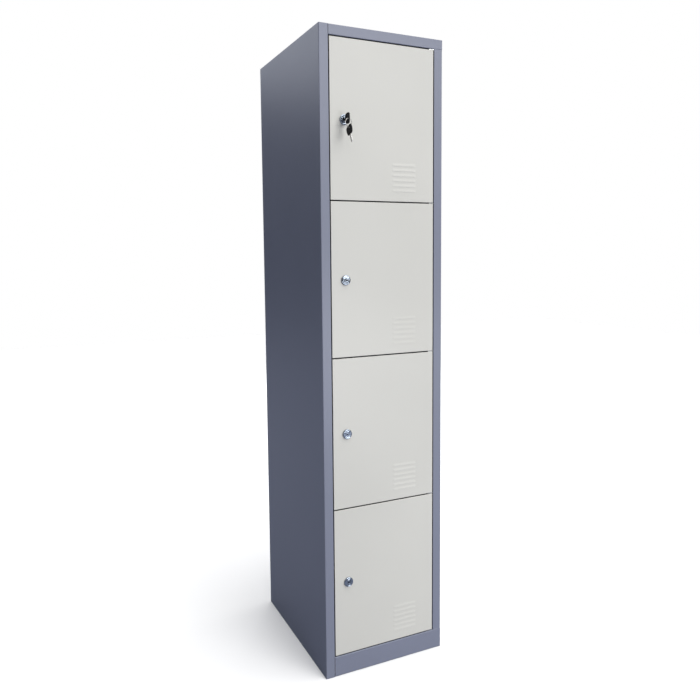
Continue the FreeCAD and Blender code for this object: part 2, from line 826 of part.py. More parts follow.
def key_bow(name, placement):
    """Moulded plastic key bow with a hole for the ring and a slot for the blade's tang."""
    body = doc.addObject("PartDesign::Body", name)
    body.Label = name
    inner, outer, half = "-bow_inner", "-bow_outer", "bow_half_height"
    pad(body, "X", "-bow_half_thick", "bow_half_thick", box(outer, f"-{half}", inner, half))
    corners = [(y, z) for y in (inner, outer) for z in (f"-{half}", half)]
    round_edges(body, "bow_corner", "X", *corners)
    pocket(body, "X", "-bow_half_thick", "bow_half_thick",
           ("-bow_hole_reach", "0", "bow_hole_radius"))
    slot = box("-blade_half_width", "-blade_half_height", "blade_half_width", "blade_half_height")
    pocket(body, "Y", "-blade_tang", "-bow_inner", slot)
    body.Placement = placement


def key_ring():
    """Closed wire ring through both key bows."""
    ring = doc.addObject("Part::Torus", "key_ring")
    ring.Label = "key_ring"
    ring.setExpression("Radius1", bind("ring_radius"))
    ring.setExpression("Radius2", bind("ring_wire"))
    ring.Placement = FreeCAD.Placement(ring_centre(), turned("Z", "ring_turn").multiply(
        turned("X", "90")))
    doc.recompute()


def turned(axis, angle):
    """Rotation about a main axis by an angle from the sheet."""
    directions = {"X": FreeCAD.Vector(1, 0, 0), "Z": FreeCAD.Vector(0, 0, 1)}
    return FreeCAD.Rotation(directions[axis], number(angle))


def first_lock_centre():
    """Point on the top door's face at the middle of its lock."""
    return FreeCAD.Vector(number("lock_across"), number(FRONT), number(door_level(1)))


def ring_centre():
    """Middle of the ring, which hangs in the hole of the key that is in the lock."""
    drop = number("ring_drop + ring_radius")
    return first_lock_centre() + FreeCAD.Vector(0, -number("bow_hole_reach"), -drop)


def spare_placement():
    """Place of the spare key, which hangs by its bow from the bottom of the ring."""
    rotation = turned("Z", "spare_turn").multiply(turned("X", "-90 - spare_tilt"))
    blade_way = rotation.multVec(FreeCAD.Vector(0, 1, 0))
    wire = ring_centre() - FreeCAD.Vector(0, 0, number("ring_radius"))
    hole = wire + blade_way * number("spare_hang")
    return FreeCAD.Placement(hole + blade_way * number("bow_hole_reach"), rotation)


# ---- build and write -------------------------------------------------------------------


def build_all():
    """Make every sub-part of the locker."""
    left_side_panel()
    right_side_panel()
    top_panel()
    bottom_panel()
    back_panel()
    back_panel_screws()
    for index in range(1, DOOR_COUNT):
        shelf(index)
    for gap in range(DOOR_COUNT + 1):
        hinge_bracket(gap)
    hinge_pins()
    hinge_rivets()
    door_bumpers()
    for door in range(1, DOOR_COUNT + 1):
        door_skin(door)
        door_stiffener(door)
        door_bushes(door)
        lock_housing(door)
        lock_nut(door)
        lock_plug(door)
        lock_cam(door)
        cam_screw(door)
    in_lock = FreeCAD.Placement(first_lock_centre(), FreeCAD.Rotation())
    key_blade("key_blade", in_lock)
    key_bow("key_bow", in_lock)
    key_ring()
    key_blade("spare_key_blade", spare_placement())
    key_bow("spare_key_bow", spare_placement())
    doc.recompute()


def sub_parts():
    """The finished sub-parts: bodies, and primitives that stand on their own."""
    kinds = ("PartDesign::Body", "Part::Torus")
    return [item for item in doc.Objects if item.TypeId in kinds]


def check_all():
    """Stop if any object of the document failed or any sub-part is not a sound solid."""
    for item in doc.Objects:
        if "Invalid" in item.State or "Error" in item.State:
            raise ValueError(f"{item.Name} did not compute: {item.State}")
    for item in sub_parts():
        if item.Shape.isNull() or not item.Shape.isValid() or not item.Shape.Solids:
            raise ValueError(f"{item.Label} is not a sound solid")


def write_all():
    """Write each sub-part to its own STEP file."""
    os.makedirs("parts", exist_ok=True)
    for item in sub_parts():
        item.Shape.exportStep(f"parts/{item.Label}.step")
        print(item.Label, len(item.Shape.Solids), round(item.Shape.Volume, 1))


fill_sheet()
build_all()
check_all()
write_all()
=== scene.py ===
import json
import math

import bmesh
import bpy
from mathutils import Matrix, Vector

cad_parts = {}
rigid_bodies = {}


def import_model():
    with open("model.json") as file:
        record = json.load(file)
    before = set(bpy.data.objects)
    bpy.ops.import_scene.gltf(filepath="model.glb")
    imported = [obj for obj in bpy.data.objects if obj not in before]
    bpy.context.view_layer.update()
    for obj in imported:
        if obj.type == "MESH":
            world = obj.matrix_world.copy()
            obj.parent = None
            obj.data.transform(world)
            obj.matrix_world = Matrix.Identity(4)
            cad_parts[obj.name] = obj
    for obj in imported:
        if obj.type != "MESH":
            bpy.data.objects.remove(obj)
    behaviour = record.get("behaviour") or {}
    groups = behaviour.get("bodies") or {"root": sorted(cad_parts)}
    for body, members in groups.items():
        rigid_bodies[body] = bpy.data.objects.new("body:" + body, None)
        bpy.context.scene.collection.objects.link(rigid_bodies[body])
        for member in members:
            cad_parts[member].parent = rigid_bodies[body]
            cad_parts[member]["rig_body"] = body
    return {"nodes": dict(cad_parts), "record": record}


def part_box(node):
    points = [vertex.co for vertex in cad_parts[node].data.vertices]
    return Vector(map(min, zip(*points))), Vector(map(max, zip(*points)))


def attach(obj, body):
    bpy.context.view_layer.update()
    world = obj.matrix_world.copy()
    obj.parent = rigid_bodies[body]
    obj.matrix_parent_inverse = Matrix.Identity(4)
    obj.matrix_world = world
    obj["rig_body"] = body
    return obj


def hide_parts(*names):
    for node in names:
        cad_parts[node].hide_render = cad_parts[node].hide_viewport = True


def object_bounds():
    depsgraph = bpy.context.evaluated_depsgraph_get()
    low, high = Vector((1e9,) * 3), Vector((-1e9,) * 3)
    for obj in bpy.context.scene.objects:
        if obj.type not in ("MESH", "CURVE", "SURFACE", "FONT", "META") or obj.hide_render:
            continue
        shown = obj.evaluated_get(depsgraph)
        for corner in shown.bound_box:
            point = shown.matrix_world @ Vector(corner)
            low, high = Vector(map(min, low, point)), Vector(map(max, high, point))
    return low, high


# Looks of a one-column steel locker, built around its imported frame. Metres, +Z up, doors
# face -Y, the origin is on the floor at the middle of the back.

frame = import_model()
CAD_LOW, CAD_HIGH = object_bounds()
SLOT_OF = {part["node"]: part["material_slot"] for part in frame["record"]["subparts"]}
MM = 0.001
DOORS = (1, 2, 3, 4)
GAPS = (1, 2, 3, 4, 5)


# ---- camera ----------------------------------------------------------------------------

CAMERA_AT = Vector((-0.924, -2.211, 1.228))
CAMERA_YAW = math.radians(25.04)
CAMERA_PITCH = math.radians(-5.25)
CAMERA_ROLL = math.radians(-0.54)
CAMERA_LENS = 34.66
CAMERA_SHIFT = (0.007, -0.0457)


def make_camera():
    """Camera that sees the front and the left side from a little above mid height."""
    flat = math.cos(CAMERA_PITCH)
    ahead = Vector((math.sin(CAMERA_YAW) * flat, math.cos(CAMERA_YAW) * flat,
                    math.sin(CAMERA_PITCH)))
    level_right = Vector((math.cos(CAMERA_YAW), -math.sin(CAMERA_YAW), 0))
    level_up = level_right.cross(ahead)
    right = level_right * math.cos(CAMERA_ROLL) + level_up * math.sin(CAMERA_ROLL)
    turn = Matrix((right, right.cross(ahead), -ahead)).transposed()
    data = bpy.data.cameras.new("camera")
    data.lens = CAMERA_LENS
    data.shift_x, data.shift_y = CAMERA_SHIFT
    data.clip_end = 200
    camera = bpy.data.objects.new("camera", data)
    camera.matrix_world = Matrix.Translation(CAMERA_AT) @ turn.to_4x4()
    bpy.context.scene.collection.objects.link(camera)
    bpy.context.scene.camera = camera


# ---- floor and light -------------------------------------------------------------------


def add_light(kind, name, place, target, power, **settings):
    """Light at a place, aimed at a target."""
    data = bpy.data.lights.new(name, kind)
    data.energy = power
    for key, value in settings.items():
        setattr(data, key, value)
    lamp = bpy.data.objects.new(name, data)
    lamp.location = place
    lamp.rotation_euler = (Vector(target) - Vector(place)).to_track_quat("-Z", "Y").to_euler()
    bpy.context.scene.collection.objects.link(lamp)


def make_lights():
    """Soft light from above, softboxes high and low in front, and one on each side behind."""
    centre = (0, -0.25, 0.9)
    add_light("SUN", "overhead_light", (1.5, -2.2, 5.0), centre, 2.4, angle=math.radians(80))
    add_light("AREA", "front_light", (1.7, -5.6, 3.4), (0, -0.5, 1.0), 113, shape="RECTANGLE",
              size=3.6, size_y=1.6)
    add_light("AREA", "low_front_light", (1.4, -4.6, 0.4), (0, -0.5, 0.4), 46, shape="RECTANGLE",
              size=1.8, size_y=0.6)
    add_light("AREA", "left_back_light", (-1.6, 2.6, 3.3), (-0.2, -0.2, 1.8), 19, size=1.6,
              color=(0.86, 0.90, 1.0))
    add_light("AREA", "back_light", (1.6, 4.0, 2.4), centre, 60, size=3.0)


def room_colours(tree):
    """Grey-blue room for the light: dark below and at eye level, white overhead."""
    coords = tree.nodes.new("ShaderNodeTexCoord")
    split = tree.nodes.new("ShaderNodeSeparateXYZ")
    bands = tree.nodes.new("ShaderNodeValToRGB")
    ramp = bands.color_ramp
    ramp.elements[0].position = 0.02
    ramp.elements[0].color = (0.05, 0.055, 0.07, 1)
    ramp.elements[1].position = 0.8
    ramp.elements[1].color = (1.0, 1.0, 1.0, 1)
    wall = ramp.elements.new(0.18)
    wall.color = (0.18, 0.19, 0.22, 1)
    tree.links.new(coords.outputs["Generated"], split.inputs[0])
    tree.links.new(split.outputs["Z"], bands.inputs["Fac"])
    return bands.outputs["Color"]


def make_world():
    """White surround for the camera, and a room that is dark at eye level for the light."""
    world = bpy.data.worlds.new("studio")
    bpy.context.scene.world = world
    world.use_nodes = True
    tree = world.node_tree
    tree.nodes.clear()
    out = tree.nodes.new("ShaderNodeOutputWorld")
    mix = tree.nodes.new("ShaderNodeMixShader")
    path = tree.nodes.new("ShaderNodeLightPath")
    white = tree.nodes.new("ShaderNodeBackground")
    white.inputs["Color"].default_value = (1, 1, 1, 1)
    room = tree.nodes.new("ShaderNodeBackground")
    room.inputs["Strength"].default_value = 0.6
    tree.links.new(room_colours(tree), room.inputs["Color"])
    tree.links.new(path.outputs["Is Camera Ray"], mix.inputs[0])
    tree.links.new(room.outputs[0], mix.inputs[1])
    tree.links.new(white.outputs[0], mix.inputs[2])
    tree.links.new(mix.outputs[0], out.inputs["Surface"])


def make_floor():
    """Plain floor, white to the camera, that sends only a dim bluish bounce up at the locker."""
    mesh = bpy.data.meshes.new("floor")
    reach = 8.0
    corners = [(-reach, -reach, 0), (reach, -reach, 0), (reach, reach, 0), (-reach, reach, 0)]
    mesh.from_pydata(corners, [], [(0, 1, 2, 3)])
    floor = bpy.data.objects.new("floor", mesh)
    bpy.context.scene.collection.objects.link(floor)
    floor.location.z = CAD_LOW.z - 0.3 * MM
    material = new_material("floor_white")
    tree = material.node_tree
    shader = tree.nodes["Principled BSDF"]
    path = tree.nodes.new("ShaderNodeLightPath")
    seen, bounced = (0.93, 0.93, 0.93), (0.23, 0.25, 0.32)
    tone = blend_colours(tree, path.outputs["Is Camera Ray"], bounced, seen)
    tree.links.new(tone, shader.inputs["Base Color"])
    shader.inputs["Roughness"].default_value = 0.9
    shader.inputs["Specular IOR Level"].default_value = 0.1
    mesh.materials.append(material)


# ---- material helpers ------------------------------------------------------------------


def new_material(name):
    """Material with its principled shader and nothing else."""
    material = bpy.data.materials.new(name)
    material.use_nodes = True
    return material


def object_space(tree):
    """Coordinates fixed to the object, in metres."""
    return tree.nodes.new("ShaderNodeTexCoord").outputs["Object"]


def stretched(tree, place, scale):
    """Coordinates scaled along each axis."""
    node = tree.nodes.new("ShaderNodeMapping")
    node.inputs["Scale"].default_value = scale
    tree.links.new(place, node.inputs["Vector"])
    return node.outputs["Vector"]


def noise(tree, place, scale, detail=3.0):
    """Noise in cells per metre."""
    node = tree.nodes.new("ShaderNodeTexNoise")
    node.inputs["Scale"].default_value = scale
    node.inputs["Detail"].default_value = detail
    tree.links.new(place, node.inputs["Vector"])
    return node.outputs["Fac"]


def spread(tree, value, low, high, start=0.0, end=1.0):
    """Map a value from start..end to low..high, held at both ends."""
    node = tree.nodes.new("ShaderNodeMapRange")
    node.inputs["From Min"].default_value = start
    node.inputs["From Max"].default_value = end
    node.inputs["To Min"].default_value = low
    node.inputs["To Max"].default_value = high
    tree.links.new(value, node.inputs["Value"])
    return node.outputs["Result"]


def blend_colours(tree, amount, first, second):
    """Mix two colours, or colour sockets, by an amount."""
    node = tree.nodes.new("ShaderNodeMix")
    node.data_type = "RGBA"
    tree.links.new(amount, node.inputs["Factor"])
    for index, value in ((6, first), (7, second)):
        if isinstance(value, tuple):
            node.inputs[index].default_value = (*value, 1)
        else:
            tree.links.new(value, node.inputs[index])
    return node.outputs[2]


def edge_mask(tree, radius):
    """1 along the edges of the mesh and 0 on its flats."""
    bevel = tree.nodes.new("ShaderNodeBevel")
    bevel.samples = 6
    bevel.inputs["Radius"].default_value = radius
    plain = tree.nodes.new("ShaderNodeNewGeometry")
    dot = tree.nodes.new("ShaderNodeVectorMath")
    dot.operation = "DOT_PRODUCT"
    tree.links.new(bevel.outputs["Normal"], dot.inputs[0])
    tree.links.new(plain.outputs["Normal"], dot.inputs[1])
    return spread(tree, dot.outputs["Value"], 1.0, 0.0, 0.86, 0.995)


def crevice_mask(tree, reach, deep, open_air):
    """1 where a gap is as closed as deep, 0 where it is as open as open_air; it sets where shade is
    painted.
    """
    open_sky = tree.nodes.new("ShaderNodeAmbientOcclusion")
    open_sky.samples = 8
    open_sky.inputs["Distance"].default_value = reach
    return spread(tree, open_sky.outputs["AO"], 1.0, 0.0, deep, open_air)


def bump(tree, height, strength, distance, under=None):
    """Normal bent by a height, on top of another bump where one is given."""
    node = tree.nodes.new("ShaderNodeBump")
    node.inputs["Strength"].default_value = strength
    node.inputs["Distance"].default_value = distance
    tree.links.new(height, node.inputs["Height"])
    if under is not None:
        tree.links.new(under, node.inputs["Normal"])
    return node.outputs["Normal"]


def shade(colour, factor):
    """Colour made darker or lighter by a factor."""
    return tuple(min(1.0, channel * factor) for channel in colour)


# ---- materials -------------------------------------------------------------------------


def powder_coat(name, colour, edge_wear_and_highlight, roughness, deep, open_air):
    """Satin powder coat on thin sheet: orange peel, faint waves and tones, paler edges and folds for
    light wear and a painted highlight, and painted shade in gaps.
    """
    material = new_material(name)
    tree = material.node_tree
    shader = tree.nodes["Principled BSDF"]
    place = object_space(tree)
    broad = noise(tree, place, 2.2, 2.0)
    speck = noise(tree, place, 900.0, 1.0)
    toned = blend_colours(tree, spread(tree, broad, 0, 1, 0.3, 0.7), shade(colour, 0.96),
                          shade(colour, 1.03))
    grained = blend_colours(tree, spread(tree, speck, 0, 0.35, 0.45, 0.75), toned,
                            shade(colour, 0.92))
    # Paler edges and folds: light wear, and a painted highlight where the rounded folds catch the
    # light.
    edged = blend_colours(tree, spread(tree, edge_mask(tree, 1.2 * MM), 0, 0.5), grained,
                          edge_wear_and_highlight)
    # Painted shade: the paint turns almost black where ambient occlusion finds a narrow gap, which
    # darkens the gaps round the doors and the louvre slots.
    crevice = crevice_mask(tree, 25 * MM, deep, open_air)
    gap_shaded = blend_colours(tree, crevice, edged, shade(colour, 0.05))
    tree.links.new(gap_shaded, shader.inputs["Base Color"])
    tree.links.new(spread(tree, broad, roughness - 0.05, roughness + 0.05),
                   shader.inputs["Roughness"])
    waves = bump(tree, noise(tree, place, 3.5, 1.0), 0.25, 2.0 * MM)
    peel = bump(tree, noise(tree, place, 420.0, 2.0), 0.18, 0.15 * MM, waves)
    tree.links.new(peel, shader.inputs["Normal"])
    shader.inputs["Specular IOR Level"].default_value = 0.45
    return material


def plated_metal(name, colour, roughness, scratch):
    """Plated metal: mottled plate, fine scratches, brighter edges and painted shade in its recesses.
    """
    material = new_material(name)
    tree = material.node_tree
    shader = tree.nodes["Principled BSDF"]
    place = object_space(tree)
    mottle = noise(tree, place, 160.0, 4.0)
    toned = blend_colours(tree, spread(tree, mottle, 0, 1, 0.35, 0.65), colour,
                          shade(colour, 0.86))
    edged = blend_colours(tree, spread(tree, edge_mask(tree, 0.3 * MM), 0, 0.6), toned,
                          shade(colour, 1.15))
    # Painted shade: the plate turns dark where ambient occlusion finds a recess, such as the keyway,
    # and in the gaps beside the doors.
    recess = crevice_mask(tree, 8 * MM, 0.12, 0.42)
    gap_shaded = blend_colours(tree, recess, edged, shade(colour, 0.12))
    tree.links.new(gap_shaded, shader.inputs["Base Color"])
    shader.inputs["Metallic"].default_value = 1.0
    lines = noise(tree, stretched(tree, place, (1.0, 1.0, 14.0)), 500.0, 3.0)
    tree.links.new(spread(tree, lines, roughness - 0.03, roughness + 0.09, 0.3, 0.7),
                   shader.inputs["Roughness"])
    tree.links.new(bump(tree, lines, scratch, 0.02 * MM), shader.inputs["Normal"])
    return material


def moulded(name, colour, roughness, grain_size, gloss=0.4):
    """Moulded plastic or rubber with a fine grain and rubbed edges."""
    material = new_material(name)
    tree = material.node_tree
    shader = tree.nodes["Principled BSDF"]
    place = object_space(tree)
    cloud = noise(tree, place, 180.0, 3.0)
    toned = blend_colours(tree, spread(tree, cloud, 0, 1, 0.3, 0.7), shade(colour, 0.8),
                          shade(colour, 1.25))
    edged = blend_colours(tree, spread(tree, edge_mask(tree, 0.4 * MM), 0, 0.5), toned,
                          shade(colour, 1.8))
    tree.links.new(edged, shader.inputs["Base Color"])
    tree.links.new(spread(tree, cloud, roughness - 0.05, roughness + 0.08),
                   shader.inputs["Roughness"])
    shader.inputs["Specular IOR Level"].default_value = gloss
    grain = noise(tree, place, 1.0 / grain_size, 2.0)
    tree.links.new(bump(tree, grain, 0.4, 0.1 * grain_size), shader.inputs["Normal"])
    return material


def make_materials():
    """One material for each of the record's slots."""
    # Each paint's second colour is its light wear and painted highlight along edges; deep and
    # open_air set where its painted shade in gaps begins and ends.
    return {
        "body_paint": powder_coat("body_paint", (0.186, 0.201, 0.262), (0.40, 0.42, 0.49),
                                  roughness=0.38, deep=0.06, open_air=0.32),
        "door_paint": powder_coat("door_paint", (0.568, 0.560, 0.516), (0.68, 0.675, 0.65),
                                  roughness=0.42, deep=0.32, open_air=0.48),
        "lock_chrome": plated_metal("lock_chrome", (0.36, 0.41, 0.48), roughness=0.14,
                                    scratch=0.05),
        "zinc_steel": plated_metal("zinc_steel", (0.62, 0.63, 0.62), roughness=0.33,
                                   scratch=0.2),
        "bright_steel": plated_metal("bright_steel", (0.62, 0.61, 0.58), roughness=0.36,
                                     scratch=0.12),
        "bush_nylon": moulded("bush_nylon", (0.018, 0.018, 0.02), roughness=0.45,
                              grain_size=0.9 * MM),
        "bumper_rubber": moulded("bumper_rubber", (0.02, 0.02, 0.022), roughness=0.65,
                                 grain_size=0.7 * MM),
        "key_plastic": moulded("key_plastic", (0.008, 0.008, 0.010), roughness=0.5,
                               grain_size=0.6 * MM, gloss=0.15),
    }


MATERIALS = make_materials()


# ---- mesh helpers ----------------------------------------------------------------------


def object_from(name, made):
    """Object in the scene from a bmesh, which is used up."""
    mesh = bpy.data.meshes.new(name)
    made.to_mesh(mesh)
    made.free()
    thing = bpy.data.objects.new(name, mesh)
    bpy.context.scene.collection.objects.link(thing)
    return thing


def new_piece(name, made, node, angle=32):
    """Turn a bmesh into a smooth-shaded piece that stands for a CAD node."""
    bmesh.ops.remove_doubles(made, verts=made.verts, dist=0.001 * MM)
    bmesh.ops.recalc_face_normals(made, faces=made.faces)
    finish_piece(object_from(name, made), node, angle)


def finish_piece(piece, node, angle=32):
    """Shade the piece, give it its finish and put it on the body of its CAD node."""
    piece.data.shade_smooth()
    piece.data.set_sharp_from_angle(angle=math.radians(angle))
    weighted = piece.modifiers.new("flat_faces", "WEIGHTED_NORMAL")
    weighted.keep_sharp = True
    bake_modifiers(piece)
    piece.data.materials.clear()
    piece.data.materials.append(MATERIALS[SLOT_OF[node]])
    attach(piece, frame["nodes"][node]["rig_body"])
    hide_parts(node)


def bake_modifiers(piece):
    """Turn the piece's modifiers into its mesh."""
    depsgraph = bpy.context.evaluated_depsgraph_get()
    mesh = bpy.data.meshes.new_from_object(piece.evaluated_get(depsgraph))
    piece.modifiers.clear()
    piece.data = mesh


def middle(node):
    """Middle of a CAD node's box."""
    low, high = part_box(node)
    return (low + high) / 2


def arc(centre_along, centre_out, radius, start, end, steps=6):
    """Points of an arc in an outline, by angles in degrees."""
    points = []
    for step in range(steps + 1):
        angle = math.radians(start + (end - start) * step / steps)
        points.append((centre_along + radius * math.cos(angle),
                       centre_out + radius * math.sin(angle)))
    return points


def rectangle(left, right, bottom, top):
    """Outline of a rectangle."""
    return [(left, bottom), (right, bottom), (right, top), (left, top)]


def rounded_rectangle(half_x, half_y, corner):
    """Outline of a rectangle with round corners, about the origin."""
    inner_x, inner_y = half_x - corner, half_y - corner
    points = arc(inner_x, inner_y, corner, 0, 90, 4)
    points += arc(-inner_x, inner_y, corner, 90, 180, 4)
    points += arc(-inner_x, -inner_y, corner, 180, 270, 4)
    points += arc(inner_x, -inner_y, corner, 270, 360, 4)
    return points


def squared(value, power):
    """Sine or cosine pushed outwards by a power below 1, which squares up a round outline."""
    return math.copysign(abs(value) ** power, value)


def join_loops(made, first, second):
    """Faces between two closed loops that have the same number of vertices."""
    for index in range(len(first)):
        after = (index + 1) % len(first)
        made.faces.new((first[index], first[after], second[after], second[index]))


def lathe(made, outline, place, segments=64):
    """Turn an outline of (along Z, radius) points about Z, and put it at a place."""
    rings = []
    for along, radius in outline:
        if radius < 0.001 * MM:
            rings.append([made.verts.new(place @ Vector((0, 0, along)))])
            continue
        ring = []
        for step in range(segments):
            angle = 2 * math.pi * step / segments
            spot = Vector((radius * math.cos(angle), radius * math.sin(angle), along))
            ring.append(made.verts.new(place @ spot))
        rings.append(ring)
    closed = len(rings[0]) > 1 and len(rings[-1]) > 1
    pairs = list(zip(rings, rings[1:])) + ([(rings[-1], rings[0])] if closed else [])
    for first, second in pairs:
        for step in range(segments):
            after = (step + 1) % segments
            loop = [first[step % len(first)], first[after % len(first)],
                    second[after % len(second)], second[step % len(second)]]
            corners = list(dict.fromkeys(loop))
            if len(corners) > 2:
                made.faces.new(corners)


def prism(made, outline, low, high, place):
    """Stretch a closed outline of (x, y) points from low to high along Z."""
    bottom = [made.verts.new(place @ Vector((x, y, low))) for x, y in outline]
    top = [made.verts.new(place @ Vector((x, y, high))) for x, y in outline]
    made.faces.new(bottom[::-1])
    made.faces.new(top)
    join_loops(made, bottom, top)


def facing(place, direction):
    """Matrix that stands at a place with its Z along a direction."""
    turn = Vector(direction).to_track_quat("Z", "Y").to_matrix().to_4x4()
    return Matrix.Translation(place) @ turn


def loose_object(name, made):
    """Plain object from a bmesh, for further work."""
    bmesh.ops.recalc_face_normals(made, faces=made.faces)
    return object_from(name, made)


def loose_prism(name, outline, low, high, place):
    """Plain object made by stretching an outline, for further work."""
    made = bmesh.new()
    prism(made, outline, low, high, place)
    return loose_object(name, made)


def round_cutter(place, direction, radius, length):
    """Cylinder for cutting a round hole, centred on a place."""
    made = bmesh.new()
    outline = [(-length / 2, 0), (-length / 2, radius), (length / 2, radius), (length / 2, 0)]
    lathe(made, outline, facing(place, direction), 48)
    return loose_object("round_cutter", made)


def combine(piece, others, operation):
    """Cut other objects out of the piece, or join them to it, and remove them."""
    for other in others:
        modifier = piece.modifiers.new("combine", "BOOLEAN")
        modifier.operation = operation
        modifier.solver = "EXACT"
        modifier.object = other
    bake_modifiers(piece)
    for other in others:
        bpy.data.objects.remove(other)


def cut(piece, cutters):
    """Cut the cutters out of the piece and remove them."""
    combine(piece, cutters, "DIFFERENCE")


def soften(piece, width, segments=2, angle=35):
    """Round every edge sharper than an angle."""
    bevel = piece.modifiers.new("soft_edges", "BEVEL")
    bevel.limit_method = "ANGLE"
    bevel.angle_limit = math.radians(angle)
    bevel.width = width
    bevel.segments = segments
    bake_modifiers(piece)


def mark_folds(made, folds):
    """Mark the edges between pairs of vertices as folds."""
    weights = made.edges.layers.float.new("bevel_weight_edge")
    for first, second in folds:
        made.edges.get((first, second))[weights] = 1.0


def surface_object(name, made, outer, outward):
    """Object from an open surface, turned so that its outer face looks outward."""
    bmesh.ops.recalc_face_normals(made, faces=made.faces)
    if outer.normal.dot(Vector(outward)) < 0:
        bmesh.ops.reverse_faces(made, faces=made.faces)
    return object_from(name, made)


def fold_sheet(piece, radius, thickness):
    """Round the marked folds of a surface and give it the sheet's thickness."""
    bevel = piece.modifiers.new("folds", "BEVEL")
    bevel.limit_method = "WEIGHT"
    bevel.width = radius
    bevel.segments = 4
    bevel.use_clamp_overlap = False
    thick = piece.modifiers.new("sheet", "SOLIDIFY")
    thick.thickness = thickness
    thick.offset = -1
    bake_modifiers(piece)


# ---- panels ----------------------------------------------------------------------------

STILE = 27 * MM
SEAM = 1.4 * MM
SEAM_DEPTH = 1.2 * MM


def make_seamed_panel(name, node):
    """Roof or floor panel whose front stops short of the left stile, which leaves a seam."""
    made = bmesh.new()
    made.from_mesh(frame["nodes"][node].data)
    seam = CAD_LOW.x + STILE
    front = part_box(node)[0].y
    for vert in made.verts:
        if abs(vert.co.x - seam) < 0.05 * MM and vert.co.y < front + SEAM_DEPTH:
            vert.co.x += SEAM
    new_piece(name, made, node)


# ---- doors -----------------------------------------------------------------------------

SHEET = 0.8 * MM
FOLD = 1.0 * MM
DOOR_LIP = 12 * MM
LIP_INSET = 6 * MM
LOUVRES = 6
LOUVRE_FIRST = 28 * MM
LOUVRE_PITCH = 14.5 * MM
LOUVRE_RISE = 9.5 * MM
# In the CAD the louvres stand LOUVRE_PROUD out of the door's face, which puts the face that
# far behind the front of the door's box. The looks raise them by LOUVRE_STAND only.
LOUVRE_PROUD = 2.0 * MM
LOUVRE_STAND = 0.6 * MM
LOUVRE_LEFT = 26 * MM
LOUVRE_WIDTH = 80 * MM
LOUVRE_END = 9 * MM
LOUVRE_COLUMNS = 7
LOUVRE_ROWS = 9
BARREL_HOLE = 9.2 * MM
BUSH_HOLE = 3.7 * MM


def ease(amount):
    """Smooth step from 0 to 1."""
    amount = min(1.0, max(0.0, amount))
    return amount * amount * (3 - 2 * amount)


def louvre_stand(x, z, foot):
    """How far a louvre stands out of the door at a point, above its foot line."""
    across = min(x - LOUVRE_LEFT, LOUVRE_LEFT + LOUVRE_WIDTH - x) / LOUVRE_END
    up = (z - foot) / LOUVRE_RISE
    if across <= 0 or up < -0.001 or up > 1:
        return 0.0
    return LOUVRE_STAND * math.sqrt(ease(across)) * (0.5 + 0.5 * math.cos(math.pi * up))


def door_lines(low, high):
    """Grid lines of a door's face: across, up, and which of the upward lines are slots."""
    across = [low.x, low.x + DOOR_LIP]
    right = LOUVRE_LEFT + LOUVRE_WIDTH
    step = LOUVRE_END / LOUVRE_COLUMNS
    across += [LOUVRE_LEFT + step * column for column in range(LOUVRE_COLUMNS + 1)]
    across += [right - step * column for column in range(LOUVRE_COLUMNS, -1, -1)]
    across += [high.x - DOOR_LIP, high.x]
    up, feet = [low.z, low.z + LIP_INSET], []
    for louvre in range(LOUVRES):
        foot = low.z + LOUVRE_FIRST + louvre * LOUVRE_PITCH
        feet.append(len(up))
        up += [foot + LOUVRE_RISE * row / LOUVRE_ROWS for row in range(LOUVRE_ROWS + 1)]
    up += [high.z - LIP_INSET, high.z]
    return across, up, feet


def door_face(made, low, high):
    """Front of the door with its louvres, as a grid that is open at each slot."""
    across, up, feet = door_lines(low, high)
    points = {}

    def point(column, row, above):
        x, z = across[column], up[row]
        foot = next((up[f] for f in reversed(feet) if f <= row), None)
        on_slot = row in feet
        stand = 0.0 if foot is None or (on_slot and not above) else louvre_stand(x, z, foot)
        key = (column, row, above and on_slot and stand > 0)
        if key not in points:
            points[key] = made.verts.new((x, low.y + LOUVRE_PROUD - stand, z))
        return points[key]

    for column in range(len(across) - 1):
        for row in range(len(up) - 1):
            made.faces.new((point(column, row, True), point(column + 1, row, True),
                            point(column + 1, row + 1, False), point(column, row + 1, False)))
    return across, up, points


def door_rim(last_column, last_row):
    """Grid spots round the edge of the door's face, in order, and its four corners."""
    rim = [(column, 0) for column in range(last_column)]
    rim += [(last_column, row) for row in range(last_row)]
    rim += [(column, last_row) for column in range(last_column, 0, -1)]
    rim += [(0, row) for row in range(last_row, 0, -1)]
    return rim, ((0, 0), (last_column, 0), (last_column, last_row), (0, last_row))


def door_returns(made, points, rim, corners, rear):
    """Four returns folded back from the face: their rear vertices by grid spot, and folds."""
    front = [points[(column, row, False)] for column, row in rim]
    back = [made.verts.new((vert.co.x, rear, vert.co.z)) for vert in front]
    folds = []
    for index in range(len(rim)):
        after = (index + 1) % len(rim)
        made.faces.new((front[after], front[index], back[index], back[after]))
        folds.append((front[index], front[after]))
    for corner in corners:
        index = rim.index(corner)
        folds.append((front[index], back[index]))
    return dict(zip(rim, back)), folds


def door_lips(made, edges, last_column, last_row):
    """Lips folded in behind the door from its left and right returns, and their folds."""
    folds = []
    for column, inward in ((0, DOOR_LIP), (last_column, -DOOR_LIP)):
        outer = [edges[(column, row)] for row in range(1, last_row)]
        inner = [made.verts.new((vert.co.x + inward, vert.co.y, vert.co.z)) for vert in outer]
        for index in range(len(outer) - 1):
            corners = (outer[index], outer[index + 1], inner[index + 1], inner[index])
            made.faces.new(corners if inward > 0 else corners[::-1])
            folds.append((outer[index], outer[index + 1]))
    return folds


